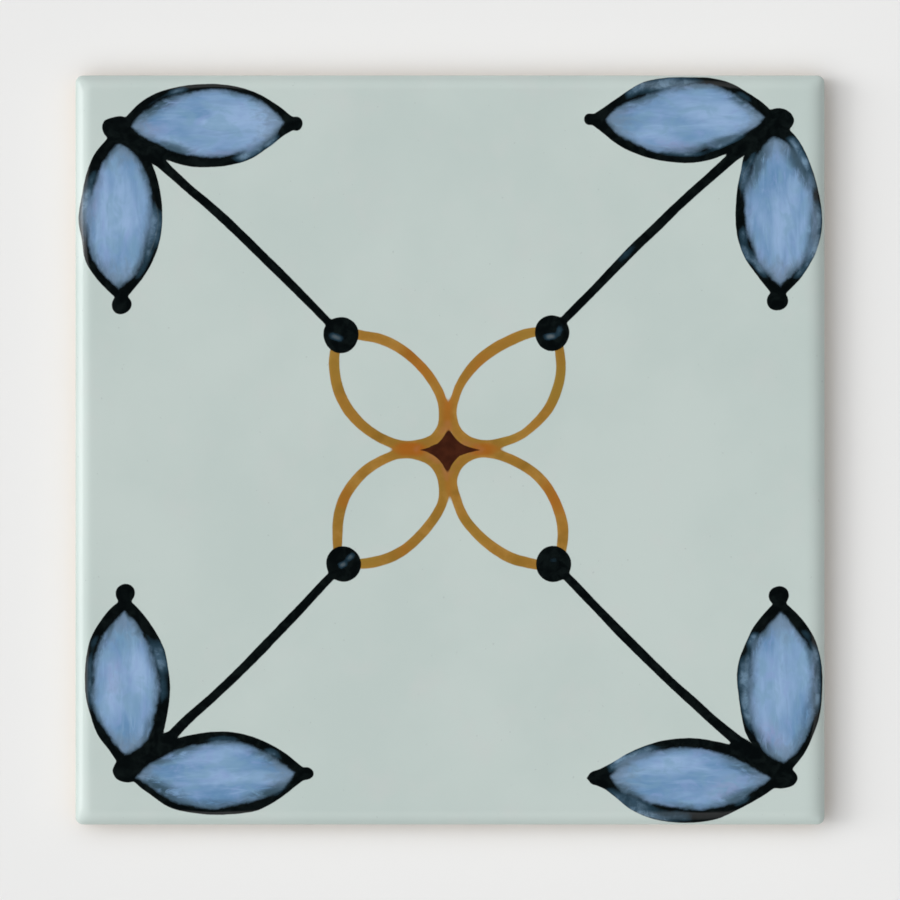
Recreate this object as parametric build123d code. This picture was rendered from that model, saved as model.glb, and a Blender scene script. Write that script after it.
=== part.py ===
from build123d import *
import os
from math import cos, pi, radians, sin, sqrt

# A square fired tile, lying on its back with the decorated face up.
# Millimetres, +Z up. The origin is the centre of the back, on the floor.

os.makedirs("parts", exist_ok=True)

# ---- driving dimensions -------------------------------------------------
SIDE = 200.0        # each side of the square, outside to outside
THICK = 8.0         # back to face
CORNER_R = 2.0      # plan radius of the four corners
ROLL_WIDTH = 4.5    # plan width of the cushioned upper edge, arris included
ROLL_ANGLE = 42.0   # slope, in degrees, where the gentle roll turns into the tight arris
ARRIS_R = 0.8       # radius of the tight arris between the roll and the side
BACK_BEVEL = 0.5    # 45 degree bevel round the back

# ---- worked out from them -----------------------------------------------
half = SIDE / 2
core = half - CORNER_R                          # half side of the square inside the corner radii
flat = half - ROLL_WIDTH                        # half side of the flat of the face
slope = radians(ROLL_ANGLE)
roll_r = (ROLL_WIDTH - ARRIS_R * (1 - sin(slope))) / sin(slope)
side_top = THICK - roll_r * (1 - cos(slope)) - ARRIS_R * cos(slope)


def roll_height(x):
    """Height of the rolled edge at a distance x from the middle of the tile."""
    return THICK - roll_r + sqrt(roll_r**2 - max(x - flat, 0) ** 2)


def rim_section(y0):
    """Upright section of the outer rim, from the core square at x = core out to the side."""

    def at(x, z):
        return (x, y0, z)

    def on_arris(turn):
        return at(half - ARRIS_R + ARRIS_R * cos(turn), side_top + ARRIS_R * sin(turn))

    roll_end = flat + roll_r * sin(slope)
    midway = (core + roll_end) / 2
    meet = pi / 2 - slope
    outline = [
        Line(at(core, 0), at(half - BACK_BEVEL, 0)),
        Line(at(half - BACK_BEVEL, 0), at(half, BACK_BEVEL)),
        Line(at(half, BACK_BEVEL), at(half, side_top)),
        ThreePointArc(on_arris(0), on_arris(meet / 2), at(roll_end, roll_height(roll_end))),
        ThreePointArc(at(roll_end, roll_height(roll_end)), at(midway, roll_height(midway)), at(core, roll_height(core))),
        Line(at(core, roll_height(core)), at(core, 0)),
    ]
    return make_face(Wire(outline))


def core_bar():
    """The core square's section in X and Z, drawn out along Y: flat on top, with the start of the roll."""

    def at(x, z):
        return (x, -core, z)

    midway = (flat + core) / 2
    low, mid = roll_height(core), roll_height(midway)
    outline = [
        Line(at(-core, 0), at(core, 0)),
        Line(at(core, 0), at(core, low)),
        ThreePointArc(at(core, low), at(midway, mid), at(flat, THICK)),
        Line(at(flat, THICK), at(-flat, THICK)),
        ThreePointArc(at(-flat, THICK), at(-midway, mid), at(-core, low)),
        Line(at(-core, low), at(-core, 0)),
    ]
    return extrude(make_face(Wire(outline)), amount=2 * core, dir=(0, 1, 0))


# The core rolls off towards all four sides, so it is what two crossed bars have in common.
tile = core_bar() & (Rot(0, 0, 90) * core_bar())

# One quarter of the rim is a straight length and a turned corner with the same section.
straight = extrude(rim_section(-core), amount=2 * core, dir=(0, 1, 0))
corner = revolve(rim_section(core), axis=Axis((core, core, 0), (0, 0, 1)), revolution_arc=90)
for quarter in range(4):
    tile += Rot(0, 0, 90 * quarter) * straight
    tile += Rot(0, 0, 90 * quarter) * corner
tile = tile.clean()
tile.label = "tile"

size = tile.bounding_box().size
print("solids", len(tile.solids()), "faces", len(tile.faces()), "valid", tile.is_valid)
print("size", round(size.X, 4), round(size.Y, 4), round(size.Z, 4), "volume", round(tile.volume, 1))
print("side face runs from z", BACK_BEVEL, "to", round(side_top, 4), "roll radius", round(roll_r, 4))
print("height at the core's edge", round(roll_height(core), 4))

export_step(tile, "parts/tile.step")
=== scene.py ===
"""Looks of the square glazed tile with painted corner leaves and a line flower.

The tile is one fired piece. Its body is meshed here with the relief of the brushwork, and one
glaze material reads the painted design from distances that are stored on the mesh's points.
"""

import bpy
import numpy as np
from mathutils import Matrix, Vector, geometry


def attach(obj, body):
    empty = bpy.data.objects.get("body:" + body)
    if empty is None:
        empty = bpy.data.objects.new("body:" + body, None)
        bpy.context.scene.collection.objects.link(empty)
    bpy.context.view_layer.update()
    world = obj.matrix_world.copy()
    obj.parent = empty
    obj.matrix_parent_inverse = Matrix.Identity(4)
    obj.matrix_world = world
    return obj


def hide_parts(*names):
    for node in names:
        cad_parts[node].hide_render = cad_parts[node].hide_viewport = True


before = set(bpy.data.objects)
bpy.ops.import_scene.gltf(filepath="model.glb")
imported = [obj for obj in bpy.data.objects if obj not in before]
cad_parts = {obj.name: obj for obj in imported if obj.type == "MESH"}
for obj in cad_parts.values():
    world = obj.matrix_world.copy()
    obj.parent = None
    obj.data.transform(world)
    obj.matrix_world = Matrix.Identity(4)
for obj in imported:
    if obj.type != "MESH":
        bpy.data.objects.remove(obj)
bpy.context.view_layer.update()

# ---- the painted design ---------------------------------------------------
# All of it is laid out in millimetres on the tile's face, x to the right from the left
# side and y down from the far side, as a decorator's layout sheet would have it.


def flow(points, per=9):
    """A smooth line through given points (centripetal Catmull-Rom)."""
    p = np.array(points, float)
    ends = np.vstack([2 * p[0] - p[1], p, 2 * p[-1] - p[-2]])
    out = []
    for a, b, c, d in zip(ends, ends[1:], ends[2:], ends[3:]):
        gap = [max(np.linalg.norm((q - r)[:2]), 1e-6) ** 0.5 for q, r in ((b, a), (c, b), (d, c))]
        k = np.cumsum([0.0] + gap)
        t = np.linspace(k[1], k[2], per, endpoint=False)[:, None]

        def mix(lo, hi, i, j):
            return lo * (k[j] - t) / (k[j] - k[i]) + hi * (t - k[i]) / (k[j] - k[i])

        ab, bc, cd = mix(a, b, 0, 1), mix(b, c, 1, 2), mix(c, d, 2, 3)
        out.append(mix(mix(ab, bc, 0, 2), mix(bc, cd, 1, 3), 1, 2))
    return np.vstack(out + [p[-1:]])


def ring(points, per=7):
    """A smooth closed line through given points."""
    p = [tuple(q) for q in points]
    whole = flow(p[-2:] + p + p[:3], per)
    return whole[2 * per : -2 * per - 1]


def eased(line, reach=1.1, pitch=0.5):
    """The same line with its small kinks drawn out, its two ends left where they are."""
    run = np.concatenate([[0], np.cumsum(np.linalg.norm(np.diff(line, axis=0), axis=1))])
    count = max(int(run[-1] / pitch), 8)
    t = np.linspace(0, run[-1], count + 1)
    even = np.stack([np.interp(t, run, line[:, k]) for k in (0, 1)], 1)
    pad = 8
    wide = np.vstack([2 * even[0] - even[pad:0:-1], even, 2 * even[-1] - even[-2 : -pad - 2 : -1]])
    k = np.exp(-0.5 * (np.arange(-pad, pad + 1) * pitch / reach) ** 2)
    k /= k.sum()
    return np.stack([np.convolve(wide[:, i], k, "valid") for i in (0, 1)], 1)


def leaf(one_side, other_side):
    """A closed outline: out along one side from the base to the tip, and back along the other."""
    there, back = eased(flow(one_side)), eased(flow(other_side))
    return np.vstack([there, back[::-1][1:-1]])


# Each leaf: its outer outline and the painted inside, both as two sides from base to tip.
LEAVES = {
    "far_left_lying": dict(
        outer=(
            [(12.4, 12.6), (16, 8.5), (20, 5.6), (26.1, 3.4), (34.5, 2.3), (43.4, 3.1), (50.4, 5.7), (55.6, 9.2), (57.7, 11.1), (59.2, 11.8), (60.1, 12.9)],
            [(12.4, 12.6), (18.5, 19), (24.5, 22.6), (30, 24.3), (35.5, 24.6), (41, 24.1), (47.1, 22.3), (52, 19), (56.4, 15.6), (58.6, 14.5), (60.1, 12.9)],
        ),
        inner=(
            [(14.9, 13.7), (16.6, 10.9), (20.2, 8.5), (24.9, 5.9), (31, 4.4), (37.5, 3.6), (44, 4.7), (49.5, 6.6), (53.2, 9.5), (56, 12.5)],
            [(14.9, 13.7), (16.8, 15.9), (20.5, 17.7), (25, 19.9), (30, 21.3), (36, 22.1), (42, 21.4), (47.4, 19.7), (52.4, 17.2), (56, 12.5)],
        ),
    ),
    "far_left_standing": dict(
        outer=(
            [(12.4, 12.6), (8.4, 17.1), (5, 21.2), (2.9, 26.6), (1.7, 32.5), (0.8, 38.5), (1.8, 43.9), (2.5, 49.2), (5.3, 53.8), (8.5, 57.3), (10.7, 59.3), (12.4, 60.5)],
            [(12.4, 12.6), (17.6, 19.6), (20.7, 24.1), (22.3, 29), (23.2, 34.2), (23.3, 39), (22.6, 44.3), (20.9, 49.3), (18.4, 53.7), (15.6, 57.2), (14.1, 59), (12.4, 60.5)],
        ),
        inner=(
            [(11.6, 18.2), (9.4, 20.3), (6.7, 24.4), (5.1, 29.5), (3.7, 34.9), (3.6, 40.5), (3.5, 45.6), (5.1, 50.2), (8.2, 53.9), (11.6, 57.1)],
            [(11.6, 18.2), (15, 19.9), (17.9, 23.7), (19.9, 28.5), (20.5, 33.7), (20.1, 38.7), (19.1, 43.4), (18.4, 48.3), (16.4, 52.9), (11.6, 57.1)],
        ),
    ),
    "far_right_lying": dict(
        outer=(
            [(187.4, 12.2), (184.4, 8.2), (180.5, 5.4), (175.2, 2.2), (169.6, 0.7), (163.5, 0.5), (157.5, 0.6), (151.1, 2), (145.5, 5.5), (140.6, 8.9), (138.4, 10.3), (137, 11), (136.3, 11.8)],
            [(187.4, 12.2), (181, 17.6), (174.5, 20.7), (169.1, 22.7), (163.5, 23.5), (157.5, 23), (150.9, 21.5), (144.8, 18.6), (140.2, 15), (138.1, 13.5), (137, 12.8), (136.3, 11.8)],
        ),
        inner=(
            [(183.9, 11.3), (181, 8.5), (177, 5.8), (172.4, 3.1), (167.3, 2.2), (162, 3.1), (156.9, 4), (151.7, 5.8), (146.6, 7.4), (143.2, 9.6), (141.4, 11.8)],
            [(183.9, 11.3), (182.5, 13.3), (179.4, 15.2), (174.8, 17.3), (169.9, 19.1), (165, 20.3), (160, 20.5), (154.4, 20.5), (149.1, 18.3), (144.7, 16), (142.6, 13.7), (141.4, 11.8)],
        ),
    ),
    "far_right_standing": dict(
        outer=(
            [(187.4, 12.2), (181.5, 18), (178.4, 21.4), (177.7, 24.8), (176.7, 29.6), (176.2, 35), (176.2, 40.3), (177.1, 45.1), (178.9, 49.3), (181.8, 53.3), (184.5, 56.9), (186, 58.6), (187.4, 60)],
            [(187.4, 12.2), (191, 15), (194, 19), (196.3, 24.3), (198.1, 30.1), (199.2, 36), (199.2, 41.5), (198, 46.3), (196, 50.5), (193.4, 54.4), (190.5, 57.3), (189.2, 58.7), (187.4, 60)],
        ),
        inner=(
            [(186.4, 16.3), (184.1, 18), (181.8, 21.6), (180.4, 26.4), (178.6, 31), (178.5, 36), (179, 41), (180.4, 45.4), (182.3, 49.4), (184.8, 53.4), (188.1, 56.4)],
            [(186.4, 16.3), (189.7, 17.7), (192.4, 21.4), (194.9, 26.2), (196.9, 31.6), (197.4, 37), (197.4, 42), (196.2, 46.5), (193.9, 50.3), (191.2, 53.5), (188.1, 56.4)],
        ),
    ),
    "near_left_standing": dict(
        outer=(
            [(13.4, 185.5), (11, 183), (9.2, 180.2), (5.9, 175.8), (4.1, 170.7), (2.8, 165.5), (2.6, 160.3), (3, 155), (4.3, 149.8), (6.9, 145.4), (9.6, 142.1), (11.5, 140.6), (13.4, 139.2)],
            [(13.4, 185.5), (20, 180), (23.3, 176), (24.2, 172.6), (25, 168.3), (25.4, 163.5), (24.9, 158.5), (24, 153.5), (21.9, 149.1), (19.2, 145.1), (16.6, 142), (15.2, 140.6), (13.4, 139.2)],
        ),
        inner=(
            [(13.3, 181.3), (11.1, 179.3), (8.7, 175.9), (6, 172), (4.4, 167.3), (4.9, 162), (4.9, 157), (5.8, 152.6), (7.9, 148.7), (10.4, 145.6), (13.2, 143)],
            [(13.3, 181.3), (16.8, 179.9), (19.7, 177), (20.9, 172.6), (22, 168), (22.5, 163), (21.7, 157.8), (20, 153.1), (18.1, 148.7), (15.9, 145.5), (13.2, 143)],
        ),
    ),
    "near_left_lying": dict(
        outer=(
            [(13.4, 185.5), (20, 180.6), (27, 177), (31.1, 175.9), (35.5, 175.2), (40.5, 175.1), (45.5, 175.9), (50.4, 177.7), (55.6, 180.5), (59.3, 183.4), (61, 184.8), (62, 185.4), (62.8, 186.3)],
            [(13.4, 185.5), (15.8, 188.6), (20, 191.9), (24.9, 195.2), (30.6, 196.7), (36.5, 197.3), (42.4, 197.1), (48.5, 196.2), (54, 193.4), (58.8, 189.7), (60.6, 188.3), (62, 187.4), (62.8, 186.3)],
        ),
        inner=(
            [(16.1, 187.4), (18.2, 184.9), (22.1, 182.6), (26.9, 179.9), (32.5, 178.6), (38.5, 177.8), (44.6, 178), (50, 180.3), (54.6, 183), (58.8, 186)],
            [(16.1, 187.4), (20, 190), (24.8, 193.2), (30.5, 194.9), (36.5, 195.9), (42.4, 194.9), (47.9, 193.8), (53.1, 191.8), (56.8, 189), (58.8, 186)],
        ),
    ),
    "near_right_standing": dict(
        outer=(
            [(189.8, 187), (184, 181.8), (180.2, 178), (178.7, 175.2), (177.7, 170.6), (176.9, 165.3), (176.5, 160.3), (177.2, 155.7), (178.8, 151.7), (180.7, 147.6), (183.4, 144), (185.7, 141.5), (187.7, 139.5)],
            [(189.8, 187), (191.7, 184.6), (194.6, 180.8), (196.9, 176), (198.7, 170.8), (199.3, 165.4), (199.4, 159.8), (198.7, 154.6), (197, 149.7), (194.2, 145.4), (191.2, 142.3), (189.5, 140.8), (187.7, 139.5)],
        ),
        inner=(
            [(189, 183.5), (185.8, 182.3), (182.8, 179.1), (180.9, 174.5), (180.3, 169), (179.8, 163.5), (180.5, 158.1), (180.4, 152.9), (182.6, 149.3), (185.4, 146), (188.3, 143.1)],
            [(189, 183.5), (191.2, 182.1), (193.5, 179.3), (195.7, 175.4), (197.2, 170.6), (197.3, 165), (197.3, 159.5), (196.9, 154.3), (194.1, 150.2), (191.4, 146.3), (188.3, 143.1)],
        ),
    ),
    "near_right_lying": dict(
        outer=(
            [(189.8, 187), (182, 181.6), (175.2, 178.8), (170, 177.5), (164.5, 176.8), (159, 177.1), (153.6, 178.3), (148, 180.6), (143, 183.5), (139.6, 185.2), (137.3, 186.1), (136.4, 187.5)],
            [(189.8, 187), (186.5, 190.2), (181.5, 193.4), (176, 196.3), (170.6, 198.7), (165, 199.5), (159.5, 199.4), (153.9, 198.4), (148.3, 196), (143.5, 192.1), (140.5, 189.9), (138, 189.2), (136.4, 187.5)],
        ),
        inner=(
            [(185.8, 187.6), (182.2, 185.4), (178, 183.1), (172.9, 181), (167.5, 179.6), (162, 179.1), (156.5, 179.9), (151.2, 181.5), (146.3, 183.4), (142.6, 187.2)],
            [(185.8, 187.6), (182.4, 190), (177.7, 193.2), (172.1, 195.3), (166.3, 196.1), (160.5, 195.4), (154.6, 194.6), (149.4, 192.5), (145, 190.5), (142.6, 187.2)],
        ),
    ),
}

# The thick joint at each corner, where the brush started: a blunt nub and the crotch of the stem.
JOINTS = [
    [(7.2, 13.6), (7.8, 12.2), (9.6, 11.4), (12.6, 11.0), (16, 13.4), (20, 17.8), (24.2, 21.2), (23.9, 22.9), (22.6, 24.2), (20.8, 23.6), (17.2, 20.2), (13, 18), (9.8, 17.4), (8.3, 16.4), (7.5, 15.2)],
    [(191.8, 12), (190.9, 10.1), (189.2, 9.1), (186.4, 9.0), (183.6, 10.8), (181.6, 14), (178.2, 16.8), (174.4, 19.4), (174, 21.1), (175.4, 22.6), (177.6, 21.8), (180.4, 19), (183, 17.2), (186.3, 16.2), (189.4, 15.9), (190.5, 14.5), (191.4, 13.4)],
    [(10, 185.7), (10.8, 187.5), (12.4, 188.4), (15, 188.6), (17.2, 186.9), (19.6, 183.6), (23.4, 180.6), (26.9, 178.2), (27.1, 176.8), (25.6, 175.4), (23.7, 175.5), (21.3, 177.6), (18.5, 180.6), (15, 182.1), (12.4, 182), (10.9, 183.3), (10.3, 184.4)],
    [(192.7, 187.7), (191.8, 189.3), (189.8, 190.1), (186.9, 190.2), (185, 189), (184.4, 187.2), (181.4, 185.3), (177.6, 182.8), (174.6, 180.2), (174.7, 178.6), (176.3, 177), (178.5, 177), (180.3, 178.6), (182.5, 181), (185.5, 183.5), (189.5, 184.1), (191.4, 185.3), (192.4, 186.5)],
]

# Stems from the joint to the big dot: x, y and half the line's width.
STEMS = [
    [(19, 19.6, 2.00), (22.5, 23.1, 1.50), (26.3, 26.6, 1.24), (30.6, 30.5, 1.17), (35.3, 34.4, 1.20), (40.3, 38.9, 1.24), (45.2, 43.6, 1.24), (50.1, 48.4, 1.21), (55.2, 53.4, 1.18), (60.1, 58.3, 1.13), (64.1, 62.4, 1.07), (68.5, 66.9, 1.05)],
    [(181, 16.9, 2.00), (178.5, 19, 1.74), (175.3, 21.9, 1.45), (170.1, 26.6, 1.29), (165, 31.1, 1.23), (160, 35.7, 1.25), (155, 40.6, 1.31), (149.9, 45.4, 1.29), (145, 50.4, 1.22), (140.2, 55.4, 1.16), (135.2, 60.5, 1.14), (129.5, 66.2, 1.05)],
    [(19, 183, 2.00), (22, 180, 1.80), (25.2, 176.8, 1.50), (30.1, 171.8, 1.31), (35.3, 167.2, 1.22), (40.4, 162.5, 1.21), (45.3, 157.7, 1.26), (50.2, 152.7, 1.28), (55.2, 147.5, 1.27), (60.3, 142.2, 1.24), (65.2, 136.9, 1.19), (69.5, 132.4, 1.10)],
    [(184, 184, 1.85), (181, 181.2, 1.81), (177.8, 178.5, 1.58), (173.9, 175.3, 1.40), (169.8, 171.8, 1.33), (164.8, 167.2, 1.26), (159.8, 162.7, 1.23), (154.8, 157.9, 1.24), (149.9, 153.1, 1.25), (144.9, 148.1, 1.23), (139.9, 142.9, 1.18), (134.9, 137.7, 1.15), (130, 132.6, 1.10)],
]

BIG_DOTS = [(70.9, 69.3, 4.75), (127.2, 68.8, 4.7), (71.6, 130.4, 4.7), (127.6, 130.4, 4.75)]
TIP_DOTS = [(12.4, 61.2, 2.6), (187.3, 60.1, 2.8), (13.4, 138.3, 2.6), (187.7, 138.9, 2.65)]
NUBS = [(58.95, 12.95, 1.8), (137.35, 11.75, 1.6), (61.75, 186.3, 1.75), (138.7, 187.4, 1.7)]
NECKS = [
    [(12.3, 57.8, 1.6), (12.4, 61.2, 1.4)],
    [(187.9, 57.4, 1.7), (187.3, 60.1, 1.5)],
    [(13.2, 142.2, 1.8), (13.4, 138.3, 1.4)],
    [(188.2, 142.2, 1.7), (187.7, 138.9, 1.5)],
]

# Petals: x, y and half the line's width, from the big dot round the blunt inner end and back.
PETALS = [
    [(73.5, 68.9, 1.30), (77.4, 69.6, 1.30), (81.4, 70.4, 1.36), (86.1, 72.6, 1.36), (91, 76.4, 1.31), (94.9, 81, 1.31), (97.5, 85.8, 1.31), (98.3, 90, 1.28), (98.0, 93.8, 1.38), (95.9, 97.0, 1.45), (91.7, 98.6, 1.36), (87.4, 98.8, 1.31), (82.8, 97.4, 1.31), (77.9, 94.5, 1.36), (73.5, 90.1, 1.47), (70.6, 85, 1.49), (69.3, 79.8, 1.43), (69.1, 75.8, 1.36), (69.6, 72, 1.20)],
    [(125, 68.2, 1.20), (120.5, 69, 1.39), (115.6, 71, 1.47), (110.8, 73.7, 1.51), (106.3, 77.6, 1.39), (102.9, 82.3, 1.20), (101.1, 87, 1.17), (100.6, 91, 1.25), (101.7, 94.8, 1.40), (104.6, 97.6, 1.45), (109.2, 98.7, 1.34), (113.8, 98, 1.24), (118.8, 96.1, 1.16), (123.1, 92.7, 1.22), (126.6, 88.4, 1.31), (128.7, 83.4, 1.34), (129.6, 78.5, 1.31), (129.4, 75, 1.26), (128.9, 71.5, 1.20)],
    [(74, 130.5, 1.20), (78.5, 130.1, 1.46), (83, 129, 1.42), (87.6, 126.7, 1.33), (91.6, 123.2, 1.31), (95.4, 118.7, 1.29), (98, 113.8, 1.26), (98.2, 109.4, 1.28), (97.3, 105.6, 1.40), (95.0, 102.8, 1.45), (91, 101.3, 1.30), (86.6, 101.1, 1.25), (82.4, 102.5, 1.31), (78.1, 105, 1.39), (74.4, 108.7, 1.38), (71.7, 113, 1.39), (70.3, 118, 1.44), (70, 122.2, 1.35), (70, 127, 1.15)],
    [(125, 130.9, 1.25), (121, 130.1, 1.43), (116.3, 128.8, 1.45), (111.5, 126, 1.42), (107.1, 122.2, 1.40), (103.6, 117.8, 1.33), (101.6, 112.7, 1.25), (100.7, 108.4, 1.26), (101.6, 104.8, 1.34), (104.2, 102.1, 1.38), (108, 100.8, 1.32), (112.6, 101.2, 1.33), (117.3, 103, 1.34), (122.1, 105.9, 1.34), (125.8, 109.8, 1.36), (128.4, 114.6, 1.40), (129.9, 119.5, 1.44), (130.1, 123.2, 1.44), (129.6, 127.5, 1.30)],
]

# The concave star between the petals' inner ends. The petals' lines lie over its rim.
STAR = np.vstack(
    [
        flow([(99.3, 93.2), (100.4, 95.3), (102.2, 97.2), (104.5, 98.6), (108.3, 99.8)])[:-1],
        flow([(108.3, 99.8), (104.5, 100.9), (102.3, 102.3), (100.6, 104.4), (99.4, 107.2)])[:-1],
        flow([(99.4, 107.2), (98.3, 104.6), (96.7, 102.8), (94.6, 101.4), (91.4, 99.9)])[:-1],
        flow([(91.4, 99.9), (94.6, 98.5), (96.7, 96.9), (98.2, 95.1), (99.3, 93.2)])[:-1],
    ]
)

# Its two long points, left and right, run out over the lines: x, y and half the width.
POINTS = [
    [(98.2, 99.95, 1.7), (96.4, 99.95, 1.5), (95.4, 99.95, 1.1), (94.4, 99.95, 0.62), (93.3, 99.97, 0.33), (92.0, 100.0, 0.05)],
    [(100.6, 99.9, 1.7), (102.6, 99.9, 1.6), (103.8, 99.93, 1.15), (105.3, 99.97, 0.68), (106.6, 99.98, 0.36), (108.0, 99.98, 0.05)],
]

# Places where the black line runs thin and pale, and pale spots in the big dots that are painted highlights: x, y,
# length, width, turn in degrees, how thin.
THIN_AND_HIGHLIGHTS = [
    (2.6, 35, 8.0, 1.7, 96, 0.82),
    (21.5, 41.2, 6.5, 2.4, 97, 0.82),
    (46.5, 21.2, 5.0, 1.5, -27, 0.82),
    (22, 6.0, 4.5, 1.0, -30, 0.20),
    (157, 2.0, 10.5, 2.2, -9, 0.82),
    (178.0, 26.6, 4.6, 1.8, 98, 0.79),
    (194.2, 22.0, 5.6, 1.5, 62, 0.82),
    (196.8, 47.8, 5.6, 1.5, 108, 0.85),
    (178.7, 47.5, 3.5, 1.4, 68, 0.80),
    (163, 21.6, 6.0, 1.0, 0, 0.28),
    (22.9, 155.0, 6.0, 2.0, 72, 0.82),
    (3.6, 160.5, 8.5, 1.3, 90, 0.58),
    (39, 176.8, 5.0, 1.4, 0, 0.46),
    (178.4, 159.4, 5.6, 2.1, 92, 0.88),
    (178.9, 168.8, 6.0, 1.8, 80, 0.86),
    (144.8, 182.8, 4.2, 1.8, -31, 0.85),
    (152, 197.6, 9.5, 1.5, 20, 0.85),
    (143.5, 192.0, 4.0, 1.3, 38, 0.7),
    (198.2, 163.5, 6.5, 1.2, 92, 0.80),
    (55, 190.5, 3.4, 1.2, -33, 0.3),
    (150.5, 180.7, 5.5, 1.5, -24, 0.80),
    (180.4, 150.4, 2.6, 1.4, -65, 0.74),
    (181.8, 50.8, 4.2, 1.4, 58, 0.74),
    (177.8, 42.6, 2.6, 1.3, 78, 0.62),
    (198.4, 38.5, 5.5, 1.4, 92, 0.80),
    (196.9, 28.4, 2.6, 1.3, 68, 0.72),
    (150.0, 194.6, 6.0, 1.6, 25, 0.76),
    (160.0, 197.8, 6.4, 1.5, 5, 0.74),
    (52.8, 17.8, 2.6, 1.3, -40, 0.62),
    (19.6, 49.0, 3.0, 1.3, 105, 0.52),
    (53.2, 180.6, 2.8, 1.3, 28, 0.58),
    (149.0, 4.0, 3.0, 1.3, -30, 0.78),
    (4.4, 27.2, 2.6, 1.2, 105, 0.42),
    (27.4, 4.0, 3.0, 1.0, -15, 0.60),
    (24.1, 164.2, 4.5, 1.5, 88, 0.56),
    (193.4, 53.0, 2.6, 1.2, 125, 0.56),
    (4.9, 150.6, 2.6, 1.2, 112, 0.46),
    (180.4, 22.0, 2.0, 1.1, 110, 0.50),
    (178.6, 5.4, 2.6, 1.1, 28, 0.48),
    (17.8, 53.0, 2.6, 1.2, 120, 0.48),
    (191.9, 17.6, 2.4, 1.3, 45, 0.60),
    (195.5, 149.0, 2.2, 1.3, 60, 0.52),
    (178.2, 193.9, 2.6, 1.2, -25, 0.45),
    (197.8, 154.5, 4.0, 1.3, 75, 0.70),
    # a paler grey patch on the upper right stem
    (147.2, 47.3, 3.4, 1.3, -45, 0.33),
    (163, 20.9, 7.5, 0.9, 4, 0.45),
    (173.5, 18.2, 5.0, 1.0, -24, 0.66),
    # the last six are painted highlights: pale spots standing in for reflections on the big dots' domes
    (69.7, 69.9, 1.9, 0.9, 22, 0.66),
    (126.8, 69.7, 1.6, 0.9, -8, 0.78),
    (129.0, 68.4, 0.8, 1.3, 12, 0.46),
    (71.4, 130.6, 1.2, 0.8, -25, 0.72),
    (73.4, 128.6, 1.3, 0.8, -45, 0.62),
    (127.6, 129.4, 1.1, 0.8, 0, 0.28),
]

# Places where it is pale right through to the wash, with no dark edge left, as above.
OPEN = [
    (20.8, 41.2, 6.0, 2.4, 97, 0.9),
    (3.0, 38.8, 6.0, 2.2, 91, 0.8),
    (179.4, 27.6, 4.2, 1.9, 102, 0.8),
    (197.0, 47.6, 3.4, 1.8, 108, 0.5),
    (178.0, 157.0, 2.6, 1.8, 92, 0.5),
]

# Places inside the leaves where the outline's colour has run into the wash, as above.
BLEEDS = [
    (23.2, 7.4, 6.0, 2.0, -28, 0.85),
    (18.5, 9.8, 3.0, 2.0, -45, 0.55),
    (26, 19.4, 6.5, 1.5, 14, 0.65),
    (52.5, 17.2, 3.0, 1.2, -35, 0.45),
    (6.0, 24.5, 5.0, 1.5, 112, 0.60),
    (18.8, 26.5, 6.0, 1.4, 68, 0.60),
    (19.6, 45.5, 5.0, 1.4, 102, 0.40),
    (6.2, 50, 4.0, 1.4, 62, 0.40),
    (176.8, 6.3, 6.0, 1.6, 30, 0.70),
    (172, 18.0, 8.0, 1.7, -20, 0.65),
    (150, 7.6, 6.0, 1.2, -16, 0.45),
    (182.2, 24.0, 7.0, 2.0, 112, 0.80),
    (192.8, 24.2, 7.0, 1.9, 60, 0.80),
    (196, 42, 5.0, 1.1, 95, 0.45),
    (7.0, 150.5, 5.5, 1.8, 112, 0.80),
    (20.6, 155, 6.5, 1.4, 76, 0.50),
    (6.6, 174.2, 5.5, 1.5, 62, 0.65),
    (19.6, 174.5, 4.0, 1.6, 105, 0.55),
    (23.0, 190.4, 7.5, 2.1, 26, 0.90),
    (50.8, 192.0, 6.5, 2.0, -22, 0.90),
    (27.5, 181.0, 6.5, 1.7, -24, 0.60),
    (38, 194.4, 8.0, 1.2, 0, 0.50),
    (50, 181.6, 4.5, 1.2, 28, 0.55),
    (182.2, 150.5, 5.0, 1.5, 118, 0.65),
    (195.6, 169, 6.0, 1.3, 104, 0.50),
    (183.4, 178, 4.5, 1.6, 55, 0.65),
    (193.5, 176.2, 3.5, 1.3, 120, 0.45),
    (178, 184.8, 6.0, 1.5, 24, 0.65),
    (177, 192.0, 6.5, 1.5, -22, 0.60),
    (147, 191.0, 5.0, 1.5, 28, 0.65),
]

# Where the wash lies paler, as above, where it lies deeper, and where it turns to lilac.
PALE = [
    (44, 12.5, 10, 4.2, 8, 0.55),
    (50.8, 14.6, 3.2, 2.4, 0, 0.50),
    (27, 18.4, 6.0, 1.0, 20, 0.60),
    (8.2, 38.5, 8.5, 1.7, 88, 0.75),
    (13.5, 35, 7.0, 2.6, 85, 0.35),
    (171, 10.5, 9.0, 2.8, 12, 0.55),
    (155, 16, 6.0, 1.6, 12, 0.40),
    (188.8, 40, 7.0, 2.8, 95, 0.55),
    (17.3, 159, 6.0, 2.6, 80, 0.65),
    (10, 164, 5.0, 2.2, 100, 0.50),
    (44, 187, 11, 1.5, 3, 0.60),
    (36, 182.3, 7.0, 1.4, -12, 0.45),
    (188.6, 160, 9.0, 4.0, 92, 0.45),
    (158, 184.6, 8.0, 2.0, -10, 0.55),
    (167, 192.2, 6.0, 1.4, -8, 0.40),
]
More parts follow.
